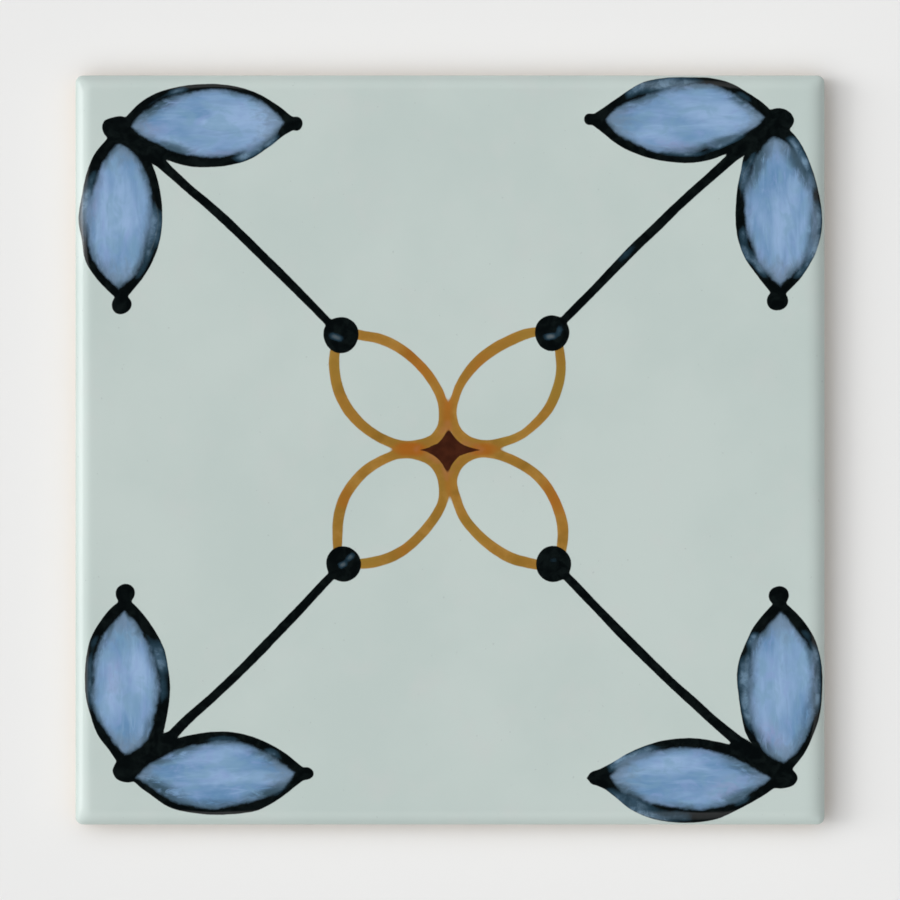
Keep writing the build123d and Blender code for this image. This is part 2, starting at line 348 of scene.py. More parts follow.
DEEP = [
    (20.5, 11.8, 4.6, 2.4, -25, 0.60),
    (33, 10.6, 7.0, 1.8, -5, 0.35),
    (13, 21.5, 3.2, 3.0, 90, 0.50),
    (15.6, 45, 5.5, 1.6, 95, 0.40),
    (146.5, 12, 6.0, 3.0, 10, 0.50),
    (186, 26.5, 6.5, 3.2, 112, 0.60),
    (183, 44, 4.5, 1.4, 72, 0.35),
    (13, 175.3, 4.5, 3.0, 80, 0.65),
    (13.5, 149, 4.5, 2.6, 90, 0.40),
    (24, 185.5, 6.5, 3.2, -12, 0.65),
    (38, 193.3, 8.5, 1.8, 0, 0.85),
    (52, 184, 4.5, 1.8, 30, 0.50),
    (185, 150, 4.0, 2.2, 70, 0.40),
    (193.5, 172, 4.5, 1.8, 105, 0.40),
    (152, 190, 7.0, 2.8, 15, 0.50),
    (38, 187, 24, 11, 0, 0.22),
    (164, 188, 24, 11, 0, 0.22),
]
LILAC = [
    (161, 19, 6.0, 1.4, 5, 0.55),
    (185.4, 176.5, 4.0, 2.8, 60, 0.65),
    (174, 190, 5.0, 2.4, -20, 0.60),
    (10.2, 161, 5.0, 2.0, 95, 0.45),
    (20, 14.5, 3.5, 2.0, 10, 0.50),
    (40, 21.2, 8.0, 0.9, 2, 0.55),
    (188, 53.5, 2.4, 2.2, 0, 0.50),
    (5.2, 33, 6.0, 1.0, 95, 0.50),
]

# Along the ochre line: where it runs orange brown, and where olive.
WARM = [
    (89.5, 99.7, 4.4, 2.0, 2, 1.0),
    (109.2, 99.8, 3.8, 1.8, -2, 0.85),
    (99.3, 89.5, 1.8, 4.5, 0, 0.35),
    (91, 76.5, 6.0, 2.6, 45, 0.42),
    (71.8, 112.5, 2.4, 4.2, 15, 0.50),
    (127.4, 112.5, 5.0, 2.4, 62, 0.50),
    (107, 77.2, 5.0, 2.4, -45, 0.30),
    (86, 127.6, 5.0, 2.2, -28, 0.30),
]
OLIVE = [
    (69.5, 80, 2.4, 7.0, -8, 0.55),
    (128.6, 83, 2.4, 7.0, 12, 0.60),
    (118, 96.3, 6.0, 2.2, -25, 0.50),
    (121, 69.2, 5.0, 2.0, -12, 0.60),
    (77, 130, 5.0, 2.0, -5, 0.65),
    (107, 122, 6.0, 2.4, 48, 0.50),
    (98.9, 110, 1.8, 5.0, 0, 0.30),
]


def to_segments(q, line, width=None):
    """Distance from each point to an open line, less its half width where it has one."""
    a, b = line[:-1, :2], line[1:, :2]
    best = np.full(len(q), 1e9)
    for s in range(0, len(a), 64):
        p0, d = a[s : s + 64], (b - a)[s : s + 64]
        rel = q[:, None] - p0
        t = ((rel * d).sum(-1) / np.maximum((d * d).sum(-1), 1e-12)).clip(0, 1)
        off = np.linalg.norm(rel - t[..., None] * d, axis=-1)
        if width is not None:
            w = width[:-1][s : s + 64] * (1 - t) + width[1:][s : s + 64] * t
            off = off - w
        best = np.minimum(best, off.min(1))
    return best


def to_outline(q, loop):
    """Signed distance to a closed outline, below zero inside."""
    shut = np.vstack([loop, loop[:1]])
    off = to_segments(q, shut)
    x, y = q[:, :1], q[:, 1:]
    (ax, ay), (bx, by) = shut[:-1].T, shut[1:].T
    rise = np.where(by == ay, 1e-12, by - ay)
    cross = ((ay > y) != (by > y)) & (x < (bx - ax) * (y - ay) / rise + ax)
    return np.where(cross.sum(1) % 2 == 1, -off, off)


def nearby(q, points, reach, far, work):
    """work() for the points near a shape, and a plain large distance for the others."""
    lo, hi = points[:, :2].min(0) - reach, points[:, :2].max(0) + reach
    near = ((q > lo) & (q < hi)).all(1)
    out = np.full(len(q), far)
    if near.any():
        out[near] = np.minimum(work(q[near]), far)
    return out


def pooled(a, b, k):
    """The union of two shapes with a small fillet, as wet colour pools in a corner."""
    h = np.maximum(k - np.abs(a - b), 0) / k
    return np.minimum(a, b) - h * h * k / 4


def spots(q, places):
    """How much of a soft oval spot lies over each point, from 0 to 1."""
    clear = np.ones(len(q))
    for x, y, rx, ry, turn, amount in places:
        c, s = np.cos(np.radians(turn)), np.sin(np.radians(turn))
        dx, dy = q[:, 0] - x, q[:, 1] - y
        along, across = (dx * c + dy * s) / rx, (-dx * s + dy * c) / ry
        clear *= 1 - amount * np.exp(-((along**2) ** 1.5 + (across**2) ** 1.5))
    return 1 - clear


REACH, FAR = 6.0, 6.0
SHAPES = [(leaf(*one["outer"]), leaf(*one["inner"])) for one in LEAVES.values()]


def paint(q):
    """Everything the material needs to know at each point of the face (x, y as above)."""
    out = {}
    ink = np.full(len(q), FAR)
    fill = np.full(len(q), FAR)
    brush = np.zeros((len(q), 3))
    tips = np.zeros(len(q))
    for i, (outer, inner) in enumerate(SHAPES):
        ink = pooled(ink, nearby(q, outer, REACH, FAR, lambda p: to_outline(p, outer)), 0.5)
        d = nearby(q, inner, REACH, FAR, lambda p: to_outline(p, inner))
        base = inner[0]
        tip = inner[np.argmax(np.linalg.norm(inner - base, axis=1))]
        length = np.linalg.norm(tip - base)
        along = (tip - base) / length
        u, v = (q - base) @ along, (q - base) @ np.array([-along[1], along[0]])
        mine = d < fill
        brush[mine] = np.stack([u, v, np.full(len(q), 10.0 * i)], 1)[mine]
        end = np.maximum(np.exp(-((u / 7.0) ** 2)), np.exp(-(((u - length) / 9.0) ** 2)))
        tips[mine] = end[mine]
        fill = np.minimum(fill, d)
    for loop in [ring(j) for j in JOINTS]:
        ink = pooled(ink, nearby(q, loop, REACH, FAR, lambda p: to_outline(p, loop)), 0.6)
    for line in STEMS + NECKS:
        path = flow(line) if len(line) > 2 else np.array(line, float)
        ink = pooled(ink, nearby(q, path, REACH + 3, FAR, lambda p: to_segments(p, path, path[:, 2])), 0.5)
    for x, y, r in BIG_DOTS + TIP_DOTS + NUBS:
        turn = np.arctan2(q[:, 1] - y, q[:, 0] - x)
        wobble = 0.07 * np.sin(2 * turn + x) + 0.05 * np.sin(3 * turn + y)
        ink = pooled(ink, np.hypot(q[:, 0] - x, q[:, 1] - y) - r + wobble, 0.5)
    out["ink"] = ink.clip(-FAR, FAR)
    out["fill"] = fill
    rings = []
    for line in PETALS:
        path = flow(line)
        rings.append(nearby(q, path, REACH + 2, FAR, lambda p: to_segments(p, path, path[:, 2])))
    rings = np.sort(np.array(rings), axis=0)
    out["ochre"] = pooled(rings[0], rings[1], 1.7)
    out["lap"] = rings[1]
    out["star"] = nearby(q, STAR, REACH, FAR, lambda p: to_outline(p, STAR))
    points = np.full(len(q), FAR)
    for line in POINTS:
        path = np.array(line)
        points = np.minimum(points, nearby(q, path, REACH, FAR, lambda p: to_segments(p, path, path[:, 2])))
    out["points"] = points
    # ink body: lower where the line runs thin, and in the big dots where painted highlights are laid
    out["dense_and_highlit"] = 1 - spots(q, THIN_AND_HIGHLIGHTS)
    out["open"] = spots(q, OPEN)
    out["bleed"] = spots(q, BLEEDS)
    out["depth"] = spots(q, PALE) - spots(q, DEEP)
    out["lilac"] = spots(q, LILAC)
    out["warmth"] = spots(q, WARM) - spots(q, OLIVE)
    out["brush"], out["tips"] = brush, tips
    dome = np.zeros(len(q))
    for (x, y, r), high in [(d, 0.165) for d in BIG_DOTS] + [(d, 0.115) for d in TIP_DOTS] + [(d, 0.09) for d in NUBS]:
        dome = np.maximum(dome, high * (1 - (np.hypot(q[:, 0] - x, q[:, 1] - y) / r) ** 2).clip(0) ** 0.75)
    out["dome"] = dome
    return out


# ---- end of the painted design ----------------------------------------------

# ---- the body, in millimetres until it is handed to Blender --------------------
# The rim's section is the CAD solid's: a roll, a tight arris, an upright side, a bevel.
HALF, CORNER, RIM, ARRIS, THICK, BEVEL = 100.0, 2.0, 4.5, 0.8, 8.0, 0.5
SLOPE = np.radians(42.0)
CORE, FLAT = HALF - CORNER, HALF - RIM
ROLL = (RIM - ARRIS * (1 - np.sin(SLOPE))) / np.sin(SLOPE)
SIDE_TOP = THICK - ROLL * (1 - np.cos(SLOPE)) - ARRIS * np.cos(SLOPE)
ROLL_END = ROLL * np.sin(SLOPE)  # how far the roll reaches out from the flat
OUTER = FLAT + ROLL_END - CORE  # and from the core square
SUNK = 0.20  # the bare glaze lies this far below the highest of the painted relief


def smooth(t):
    t = np.clip(t, 0, 1)
    return t * t * (3 - 2 * t)


def onto_plan(p):
    """Takes a plain square of half side 100 onto the rounded square where the roll ends."""
    over = (np.abs(p) - CORE).clip(0) / CORNER
    reach = over.max(1, keepdims=True)
    length = np.hypot(over[:, 0], over[:, 1])[:, None]
    turned = np.where(length > 0, over / np.maximum(length, 1e-12), 0) * reach * OUTER
    return np.sign(p) * (np.minimum(np.abs(p), CORE) + turned)


def down_the_roll(plan):
    """How far out each point lies on the roll: 0 on the flat, ROLL_END where the arris starts."""
    a, b = (np.abs(plan) - FLAT).clip(0).T
    u, v = (np.abs(plan) - CORE).clip(0).T
    plain = np.where((u > 0) & (v > 0), CORE - FLAT + np.hypot(u, v), np.maximum(a, b))
    # the levels turn the corner on a radius of their own, so the roll has no mitre
    turn = 2.3
    inner = np.hypot(a, b)
    outer = turn + (a + b - np.sqrt((2 * turn**2 - (a - b) ** 2).clip(0))) / 2
    eased = np.where(inner < turn, inner, np.where(np.abs(a - b) < turn, outer, np.maximum(a, b)))
    share = smooth((plain - 2.2) / (ROLL_END - 2.2))
    return np.maximum(plain, eased * (1 - share) + plain * share)


def swell(x, y, pitch, seed):
    """Slow unevenness between -1 and 1, from a few crossing waves."""
    rng = np.random.default_rng(seed)
    out = np.zeros(len(x))
    for _ in range(9):
        turn, phase = rng.uniform(0, 2 * np.pi, 2)
        k = 2 * np.pi / (pitch * rng.uniform(0.7, 1.6))
        out += np.sin(k * (np.cos(turn) * x + np.sin(turn) * y) + phase)
    return out / 5


def top_height(plan, deco):
    """Height of the glazed face over the plan."""
    s = down_the_roll(plan)
    z = THICK - SUNK - ROLL + np.sqrt(ROLL**2 - np.minimum(s, ROLL_END) ** 2)
    x, y = plan.T
    calm = smooth((ROLL_END - s) / 0.7)
    z = z + calm * (0.020 * swell(x, y, 62, 3) + 0.007 * swell(x, y, 17, 4))
    line = np.maximum(deco["ink"], -deco["fill"])
    body = 0.30 + 0.70 * deco["dense_and_highlit"]
    relief = 0.065 * body * smooth((0.14 - line) / 0.66)
    relief = np.maximum(relief, 0.045 * smooth((0.14 - deco["ochre"]) / 0.66))
    relief = np.maximum(relief, 0.04 * smooth((0.12 - deco["star"]) / 0.5))
    wash = smooth(-deco["fill"] / 1.4)
    streak = swell(deco["brush"][:, 1] * 5.0, deco["brush"][:, 0] * 0.35 + deco["brush"][:, 2], 7, 5)
    relief = relief + wash * (0.016 + 0.008 * streak)
    relief = np.maximum(relief, deco["dome"])
    return z + relief * calm


def edge_keys(tri, pairs, base=1 << 22):
    a, b = tri[:, pairs[0]], tri[:, pairs[1]]
    return np.minimum(a, b).astype(np.int64) * base + np.maximum(a, b)


class Patch:
    """A square split into right-angled triangles, each halved until it is as fine as asked."""

    def __init__(self, cells, measure):
        t = np.linspace(-HALF, HALF, cells + 1)
        gx, gy = np.meshgrid(t, t, indexing="ij")
        self.points = np.stack([gx.ravel(), gy.ravel()], 1)
        n = cells + 1
        i, j = np.meshgrid(np.arange(cells), np.arange(cells), indexing="ij")
        a, b, c, d = [(i + p) * n + (j + q) for p, q in ((0, 0), (1, 0), (1, 1), (0, 1))]
        flip = ((i + j) % 2 == 1).ravel()
        a, b, c, d = (k.ravel() for k in (a, b, c, d))
        # the longest edge is the first two corners; the third is the right angle
        one = np.where(flip[:, None], np.stack([d, b, c], 1), np.stack([a, c, d], 1))
        two = np.where(flip[:, None], np.stack([b, d, a], 1), np.stack([c, a, b], 1))
        self.tri = np.vstack([one, two])
        self.measure = measure
        self.wanted = measure(self.points)

    def refine(self):
        while True:
            p = self.points[self.tri]
            leg = np.linalg.norm(p[:, 2] - p[:, 0], axis=1)
            mark = leg > self.wanted[self.tri].min(1) * 1.35
            if not mark.any():
                return
            chosen = np.unique(edge_keys(self.tri[mark], (0, 1)))
            while True:
                hit = [np.isin(edge_keys(self.tri, e), chosen) for e in ((0, 1), (1, 2), (2, 0))]
                need = (hit[1] | hit[2]) & ~hit[0]
                if not need.any():
                    break
                chosen = np.union1d(chosen, edge_keys(self.tri[need], (0, 1)))
            lo, hi = chosen // (1 << 22), chosen % (1 << 22)
            first = len(self.points)
            fresh = (self.points[lo] + self.points[hi]) / 2
            self.points = np.vstack([self.points, fresh])
            self.wanted = np.concatenate([self.wanted, self.measure(fresh)])
            for _ in range(2):
                keys = edge_keys(self.tri, (0, 1))
                at = np.searchsorted(chosen, keys).clip(0, len(chosen) - 1)
                cut = chosen[at] == keys
                a, b, c = self.tri[cut].T
                m = first + at[cut]
                self.tri = np.vstack([self.tri[~cut], np.stack([c, a, m], 1), np.stack([b, c, m], 1)])


def wanted_size(p):
    """How long a triangle's leg may be at each point of the plain square."""
    plan = onto_plan(p)
    deco = paint(np.stack([plan[:, 0] + 100, 100 - plan[:, 1]], 1))
    line = np.maximum(deco["ink"], -deco["fill"])
    off = np.minimum(np.abs(line), np.minimum(np.abs(deco["ochre"]), np.abs(deco["star"])))
    off = np.minimum(off, np.abs(deco["points"]))
    dot = np.where(deco["dome"] > 0, 0.55, 9.0)
    out = np.clip(0.30 + 0.34 * (off - 0.45), 0.30, 2.2)
    edge = HALF - np.abs(p).max(1)
    out = np.minimum(out, np.where(edge < RIM, 0.66, 0.66 + 0.3 * (edge - RIM)))
    return np.minimum(out, dot)


def build_body():
    patch = Patch(64, wanted_size)
    patch.refine()
    square, tri = patch.points, patch.tri
    plan = onto_plan(square)
    deco = paint(np.stack([plan[:, 0] + 100, 100 - plan[:, 1]], 1))
    top = np.column_stack([plan, top_height(plan, deco)])

    # the boundary in order round the square, from the corner at -x -y, counter-clockwise
    x, y = square.T
    rim = np.flatnonzero(np.abs(square).max(1) > HALF - 1e-9)
    sx, sy = x[rim], y[rim]
    along = np.select(
        [sy <= -HALF + 1e-9, sx >= HALF - 1e-9, sy >= HALF - 1e-9],
        [sx + HALF, 200 + sy + HALF, 400 + HALF - sx],
        600 + HALF - sy,
    )
    along[(sx <= -HALF + 1e-9) & (sy <= -HALF + 1e-9)] = 0
    rim = rim[np.argsort(along, kind="stable")]
    around = np.sort(along, kind="stable")
    count = len(rim)
    corner = np.clip(plan[rim], -CORE, CORE)
    out = plan[rim] - corner
    out /= np.linalg.norm(out, axis=1, keepdims=True)

    # the rings down the side: how far out from the core square, and how high
    section = []
    for turn in (0.75, 0.5, 0.25, 0.0):
        turn *= np.pi / 2 - SLOPE
        section.append((CORNER - ARRIS + ARRIS * np.cos(turn), SIDE_TOP - SUNK + ARRIS * np.sin(turn)))
    section += [(CORNER, 4.4), (CORNER, 3.0), (CORNER, 1.6), (CORNER, BEVEL), (CORNER - BEVEL, 0.0)]
    points, tris = [top], [tri]
    last, total = rim, len(top)
    length = np.zeros(1)
    for r, z in section:
        inward = 0.035 * (1 + swell(around * 0.9, np.full(count, z * 6), 21, 8)).clip(0, 2) if 0.4 < z < 5 else 0
        ring_xy = corner + out * (r - np.broadcast_to(inward, count))[:, None]
        here = total + np.arange(count)
        points.append(np.column_stack([ring_xy, np.full(count, z)]))
        a, b = last, np.roll(last, -1)
        c, d = np.roll(here, -1), here
        tris += [np.stack([a, d, c], 1), np.stack([a, c, b], 1)]
        last, total = here, total + count

    # the back: a fan of shrinking rings would sliver, so it is a Delaunay net over graded points
    edge = points[-1][:, :2]
    inner = []
    for gap, step in ((1.1, 2), (3.0, 4), (6.5, 8)):
        inner.append((corner + out * (CORNER - BEVEL))[::step] * (1 - gap / 100))
    t = np.arange(-84, 85, 12.0)
    gx, gy = np.meshgrid(t, t)
    inner.append(np.stack([gx.ravel() + 3 * (np.arange(gx.size) % 2), gy.ravel()], 1))
    inner = np.vstack(inner)
    cloud = np.vstack([edge, inner])
    net = geometry.delaunay_2d_cdt(
        [Vector(q) for q in cloud], [(i, (i + 1) % count) for i in range(count)], [], 1, 1e-7
    )
    verts, faces, origin = net[0], net[2], net[3]
    to_mesh = np.empty(len(verts), int)
    extra = []
    for i, source in enumerate(origin):
        of_edge = [s for s in source if s < count]
        if of_edge:
            to_mesh[i] = last[of_edge[0]]
        else:
            to_mesh[i] = total + len(extra)
            extra.append((verts[i].x, verts[i].y, 0.0))
    points.append(np.array(extra))
    back = np.array([[to_mesh[k] for k in f] for f in faces])
    q = np.vstack(points)
    ab, ac = q[back[:, 1]] - q[back[:, 0]], q[back[:, 2]] - q[back[:, 0]]
    up = ab[:, 0] * ac[:, 1] - ab[:, 1] * ac[:, 0] > 0
    back[up] = back[up][:, ::-1]
    tris.append(back)
    return dict(points=q, tris=np.vstack(tris), deco=deco, top=len(top), top_tris=len(tri), rim=rim, around=around, count=count, sections=len(section), back_tris=len(back))


made = build_body()
print("tile mesh:", len(made["points"]), "points,", len(made["tris"]), "triangles, rim", made["count"])

mesh = bpy.data.meshes.new("tile_body")
mesh.from_pydata((made["points"] / 1000.0).tolist(), [], made["tris"].tolist())
mesh.validate()
mesh.shade_smooth()
mesh.set_sharp_from_angle(angle=np.radians(32))


def store(name, values, kind="FLOAT"):
    whole = np.zeros((len(made["points"]),) + values.shape[1:])
    whole[: made["top"]] = values
    if name in ("ink", "fill", "ochre", "star", "points"):
        whole[made["top"] :] = FAR
    att = mesh.attributes.new(name, kind, "POINT")
    att.data.foreach_set("vector" if kind == "FLOAT_VECTOR" else "value", whole.ravel().astype(np.float32))


for name in ("ink", "fill", "ochre", "star", "points", "dense_and_highlit", "open", "bleed", "tips", "lap", "depth", "lilac", "warmth"):
    store(name, made["deco"][name])
store("brush", made["deco"]["brush"], "FLOAT_VECTOR")

# One map for the whole piece: the face nearly fills it, and the sides and back lie along two edges.
FACE = 0.925
uv_of = made["points"][:, :2] / 200.0 * FACE + 0.5 * FACE + 0.004
loops = np.array(made["tris"]).ravel()
uv = uv_of[loops].reshape(-1, 3, 2)
n_top, n_back = made["top_tris"], made["back_tris"]
# the sides: each of the four is a strip, unrolled by its length round the tile and its ring's place down the side
drop = np.cumsum([0.0, 0.17, 0.17, 0.17, 0.17, 1.18, 1.4, 1.4, 1.1, 0.71])
ring_of = np.zeros(len(made["points"]), int)
round_of = np.zeros(len(made["points"]))
round_of[made["rim"]] = made["around"]
for k in range(made["sections"]):
    at = made["top"] + k * made["count"] + np.arange(made["count"])
    ring_of[at], round_of[at] = k + 1, made["around"]
side = loops.reshape(-1, 3)[n_top : len(made["tris"]) - n_back]
s = round_of[side]
s = np.where(s.max(1, keepdims=True) - s > 400, s + 800.0, s)
which = (s.mean(1) // 200).astype(int).clip(0, 3)
u_side = (s - 200.0 * which[:, None]) / 200.0 * 0.96 + 0.01
v_side = drop[ring_of[side]] / drop[-1] * 0.0135
low = np.array([FACE + 0.0075, FACE + 0.0225, FACE + 0.0075, FACE + 0.0225])[which][:, None]
upright = (which >= 2)[:, None]
uv[n_top : len(made["tris"]) - n_back] = np.stack(
    [np.where(upright, low + v_side, u_side * 0.95), np.where(upright, u_side * 0.95, low + v_side)], -1
)
b = made["points"][loops.reshape(-1, 3)[len(made["tris"]) - n_back :]][:, :, :2]
uv[len(made["tris"]) - n_back :] = (b / 200.0 + 0.5) * 0.030 + 0.966
layer = mesh.uv_layers.new(name="OFBake")
layer.data.foreach_set("uv", uv.reshape(-1).astype(np.float32))

tile = bpy.data.objects.new("tile_body", mesh)
bpy.context.scene.collection.objects.link(tile)

# ---- the glaze, the brushwork and the biscuit, as one material ---------------------
fired = bpy.data.materials.new("fired_tile")
fired.use_nodes = True
tree = fired.node_tree
nodes, links = tree.nodes, tree.links
nodes.clear()


def srgb(r, g, b):
    c = np.array([r, g, b]) / 255.0
    c = np.where(c <= 0.04045, c / 12.92, ((c + 0.055) / 1.055) ** 2.4)
    return (*c.tolist(), 1.0)


def plug(socket, value):
    if hasattr(value, "node"):
        links.new(value, socket)
    else:
        socket.default_value = value


def read(name, vector=False):
    n = nodes.new("ShaderNodeAttribute")
    n.attribute_name = name
    return n.outputs["Vector" if vector else "Fac"]


def math(kind, a, b=0.0, c=0.0):
    n = nodes.new("ShaderNodeMath")
    n.operation = kind
    for socket, value in zip(n.inputs, (a, b, c)):
        plug(socket, value)
    return n.outputs[0]


def step(value, lo, hi, a=0.0, b=1.0):
    """Goes smoothly from a, where value is lo, to b, where it is hi."""
    n = nodes.new("ShaderNodeMapRange")
    n.interpolation_type = "SMOOTHSTEP"
    for socket, v in zip(("Value", "From Min", "From Max", "To Min", "To Max"), (value, lo, hi, a, b)):
        plug(n.inputs[socket], v)
    return n.outputs[0]


def blend(share, a, b, kind="MIX"):
    n = nodes.new("ShaderNodeMix")
    n.data_type = "RGBA"
    n.blend_type = kind
    n.clamp_factor = True
    plug(n.inputs["Factor"], share)
    plug(n.inputs[6], a)
    plug(n.inputs[7], b)
    return n.outputs[2]


def noise(where, scale, detail=2.0, rough=0.5, warp=0.0):
    n = nodes.new("ShaderNodeTexNoise")
    plug(n.inputs["Vector"], where)
    n.inputs["Scale"].default_value = scale
    n.inputs["Detail"].default_value = detail
    n.inputs["Roughness"].default_value = rough
    n.inputs["Distortion"].default_value = warp
    return n.outputs["Fac"]


def stretch(where, scale, shift=(0, 0, 0)):
    n = nodes.new("ShaderNodeMapping")
    plug(n.inputs["Vector"], where)
    n.inputs["Scale"].default_value = scale
    n.inputs["Location"].default_value = shift
    return n.outputs["Vector"]


coords = nodes.new("ShaderNodeTexCoord").outputs["Object"]  # metres
apart = nodes.new("ShaderNodeSeparateXYZ")
links.new(coords, apart.inputs[0])
height = apart.outputs["Z"]
brush = read("brush", True)  # millimetres along and across the leaf

# a brush's edge wanders a little, so the distances do too
wander = math("SUBTRACT", noise(coords, 420, 3, 0.6), 0.5)
wander_wide = math("SUBTRACT", noise(coords, 110, 2, 0.5), 0.5)
shake = math("ADD", math("MULTIPLY", wander, 0.20), math("MULTIPLY", wander_wide, 0.22))
ink_at = math("ADD", read("ink"), shake)
fill_at = math("ADD", read("fill"), math("MULTIPLY", shake, 1.2))
ochre_at = math("ADD", read("ochre"), shake)
star_at = math("ADD", read("star"), shake)
line_at = math("MAXIMUM", ink_at, math("MULTIPLY", fill_at, -1.0))

# the bare glaze: pale grey-green, with the faintest clouds and a few tiny specks
clouds = noise(coords, 26, 4, 0.55)
ground = blend(step(clouds, 0.32, 0.68), srgb(186, 199, 195), srgb(191, 203, 199))
fog = noise(stretch(coords, (1, 1, 1), (0.3, 0.1, 0)), 75, 3, 0.6)
ground = blend(step(fog, 0.50, 0.78, 0.0, 0.35), ground, srgb(195, 200, 198))
speck = noise(coords, 900, 1, 0.4)
ground = blend(step(speck, 0.765, 0.80, 0.0, 0.30), ground, srgb(150, 160, 160))

# the blue wash: broad soft strokes along the leaf, deeper and greyer towards the outline
streak = noise(stretch(brush, (0.070, 0.27, 1.0)), 1.0, 2, 0.45, 1.2)
wisps = noise(stretch(brush, (0.10, 0.66, 1.0), (2.0, 5.0, 1.0)), 1.0, 2, 0.5, 1.1)
broad = noise(stretch(brush, (0.070, 0.17, 1.0), (3.1, 7.7, 0.4)), 1.0, 2, 0.5, 0.9)
patch = noise(stretch(brush, (0.14, 0.26, 1.0), (9.3, 1.2, 5.0)), 1.0, 3, 0.55, 0.8)
blot = noise(stretch(brush, (0.32, 0.55, 1.0), (4.4, 0.7, 2.0)), 1.0, 3, 0.6, 0.8)
depth = math("ADD", read("depth"), math("MULTIPLY", math("SUBTRACT", streak, 0.5), 1.25))
depth = math("ADD", depth, math("MULTIPLY", math("SUBTRACT", broad, 0.5), 0.9))
wash = blend(step(depth, -0.75, 0.80), srgb(98, 136, 174), srgb(144, 173, 208))
wash = blend(step(patch, 0.47, 0.66, 0.0, 0.55), wash, srgb(117, 154, 180))
wash = blend(step(patch, 0.46, 0.30, 0.0, 0.45), wash, srgb(132, 154, 198))
wash = blend(step(wisps, 0.54, 0.76, 0.0, 0.28), wash, srgb(149, 179, 211))
wash = blend(step(wisps, 0.45, 0.26, 0.0, 0.22), wash, srgb(104, 134, 168))
wash = blend(math("MULTIPLY", read("lilac"), step(blot, 0.28, 0.60)), wash, srgb(141, 150, 189))
ragged = math("ADD", fill_at, math("MULTIPLY", math("SUBTRACT", blot, 0.5), 3.0))
rimmed = step(ragged, -2.6, 0.0)
wash = blend(math("MULTIPLY", rimmed, 0.60), wash, srgb(96, 119, 143))
tips = read("tips")
ends = step(math("ADD", tips, math("MULTIPLY", math("SUBTRACT", blot, 0.5), 1.1)), 0.30, 1.05)
wash = blend(math("MULTIPLY", ends, 0.70), wash, srgb(108, 129, 149))
smudge = step(noise(stretch(brush, (0.20, 0.50, 1.0), (1.1, 2.3, 3.0)), 1.0, 3, 0.6, 0.7), 0.28, 0.56)
wash = blend(math("MULTIPLY", read("bleed"), smudge), wash, srgb(47, 69, 80))
halo = math("ADD", fill_at, math("MULTIPLY", math("SUBTRACT", patch, 0.5), 4.0))
ringed = math("MULTIPLY", step(halo, -1.5, 0.3), math("SUBTRACT", 0.66, math("MULTIPLY", math("MAXIMUM", read("open"), math("SUBTRACT", 1.0, read("dense_and_highlit"))), 0.42)))
wash = blend(ringed, wash, srgb(54, 75, 87))

# the ochre line: olive where it is thin, orange brown where strokes lie over each other
tone = noise(coords, 95, 3, 0.6)
ochre = blend(step(tone, 0.33, 0.66), srgb(142, 108, 44), srgb(158, 116, 50))
ochre = blend(step(noise(stretch(coords, (1, 1, 1), (0.2, 0.7, 0)), 190, 3, 0.6), 0.48, 0.74, 0.0, 0.7), ochre, srgb(168, 128, 64))
ochre = blend(step(noise(stretch(coords, (1, 1, 1), (0.9, 0.4, 0)), 150, 2, 0.6), 0.52, 0.76, 0.0, 0.6), ochre, srgb(126, 94, 35))
warmth = math("ADD", read("warmth"), math("MULTIPLY", math("SUBTRACT", tone, 0.5), 0.9))
ochre = blend(step(warmth, 0.05, 0.95, 0.0, 0.95), ochre, srgb(165, 88, 24))
ochre = blend(step(warmth, -0.05, -0.85, 0.0, 0.90), ochre, srgb(145, 118, 50))
lapped = step(read("lap"), 1.5, 0.1)
ochre = blend(math("MULTIPLY", lapped, 0.50), ochre, srgb(156, 97, 33))
rosy = math("MULTIPLY", step(star_at, 1.7, 0.3), step(noise(stretch(coords, (1, 1, 1), (0.5, 0.5, 0)), 300, 2, 0.6), 0.35, 0.6))
ochre = blend(math("MULTIPLY", rosy, 0.55), ochre, srgb(160, 105, 66))
core = step(ochre_at, -0.2, -1.0)
ochre = blend(math("MULTIPLY", core, 0.22), ochre, srgb(139, 93, 32))

umber = blend(step(noise(coords, 300, 2), 0.35, 0.7), srgb(54, 24, 12), srgb(68, 33, 18))

# the black line: near black where it is loaded, slate blue where the brush ran dry, and grey at the painted highlights
# in the big dots
grain = noise(coords, 230, 3, 0.65)
cloth = noise(stretch(coords, (1, 1, 1), (0.6, 0.2, 0)), 330, 3, 0.65, 0.6)
load_and_highlit = math("ADD", read("dense_and_highlit"), math("MULTIPLY", math("SUBTRACT", grain, 0.5), 0.50))
# a thin stroke kept its colour on its outer side, and lost it into the wash on its inner one
away = step(fill_at, 3.2, 4.2)
outward = math("MULTIPLY", step(fill_at, 0.5, 2.3), math("MULTIPLY_ADD", read("dense_and_highlit"), 0.52, 0.08))
outward = math("MULTIPLY", outward, math("SUBTRACT", 1.0, away))
outer_edge = math("MULTIPLY", step(ink_at, -0.60, -0.15), step(cloth, 0.62, 0.42, 0.0, 0.30))
load_and_highlit = math("ADD", load_and_highlit, math("MAXIMUM", outward, outer_edge))
scant_and_highlit = math("SUBTRACT", 1.0, read("dense_and_highlit"))
pale_ink_and_highlight = blend(step(cloth, 0.36, 0.64), srgb(68, 94, 114), srgb(110, 138, 161))
# away from the wash the pale ink is a neutral grey, and in the big dots this grey is a painted highlight
pale_ink_and_highlight = blend(away, pale_ink_and_highlight, srgb(98, 107, 111))
ink = blend(step(load_and_highlit, 0.10, 0.62), pale_ink_and_highlight, srgb(31, 52, 64))
ink = blend(step(load_and_highlit, 0.55, 0.92), ink, blend(step(cloth, 0.40, 0.70), srgb(2, 6, 7), srgb(12, 19, 19)))

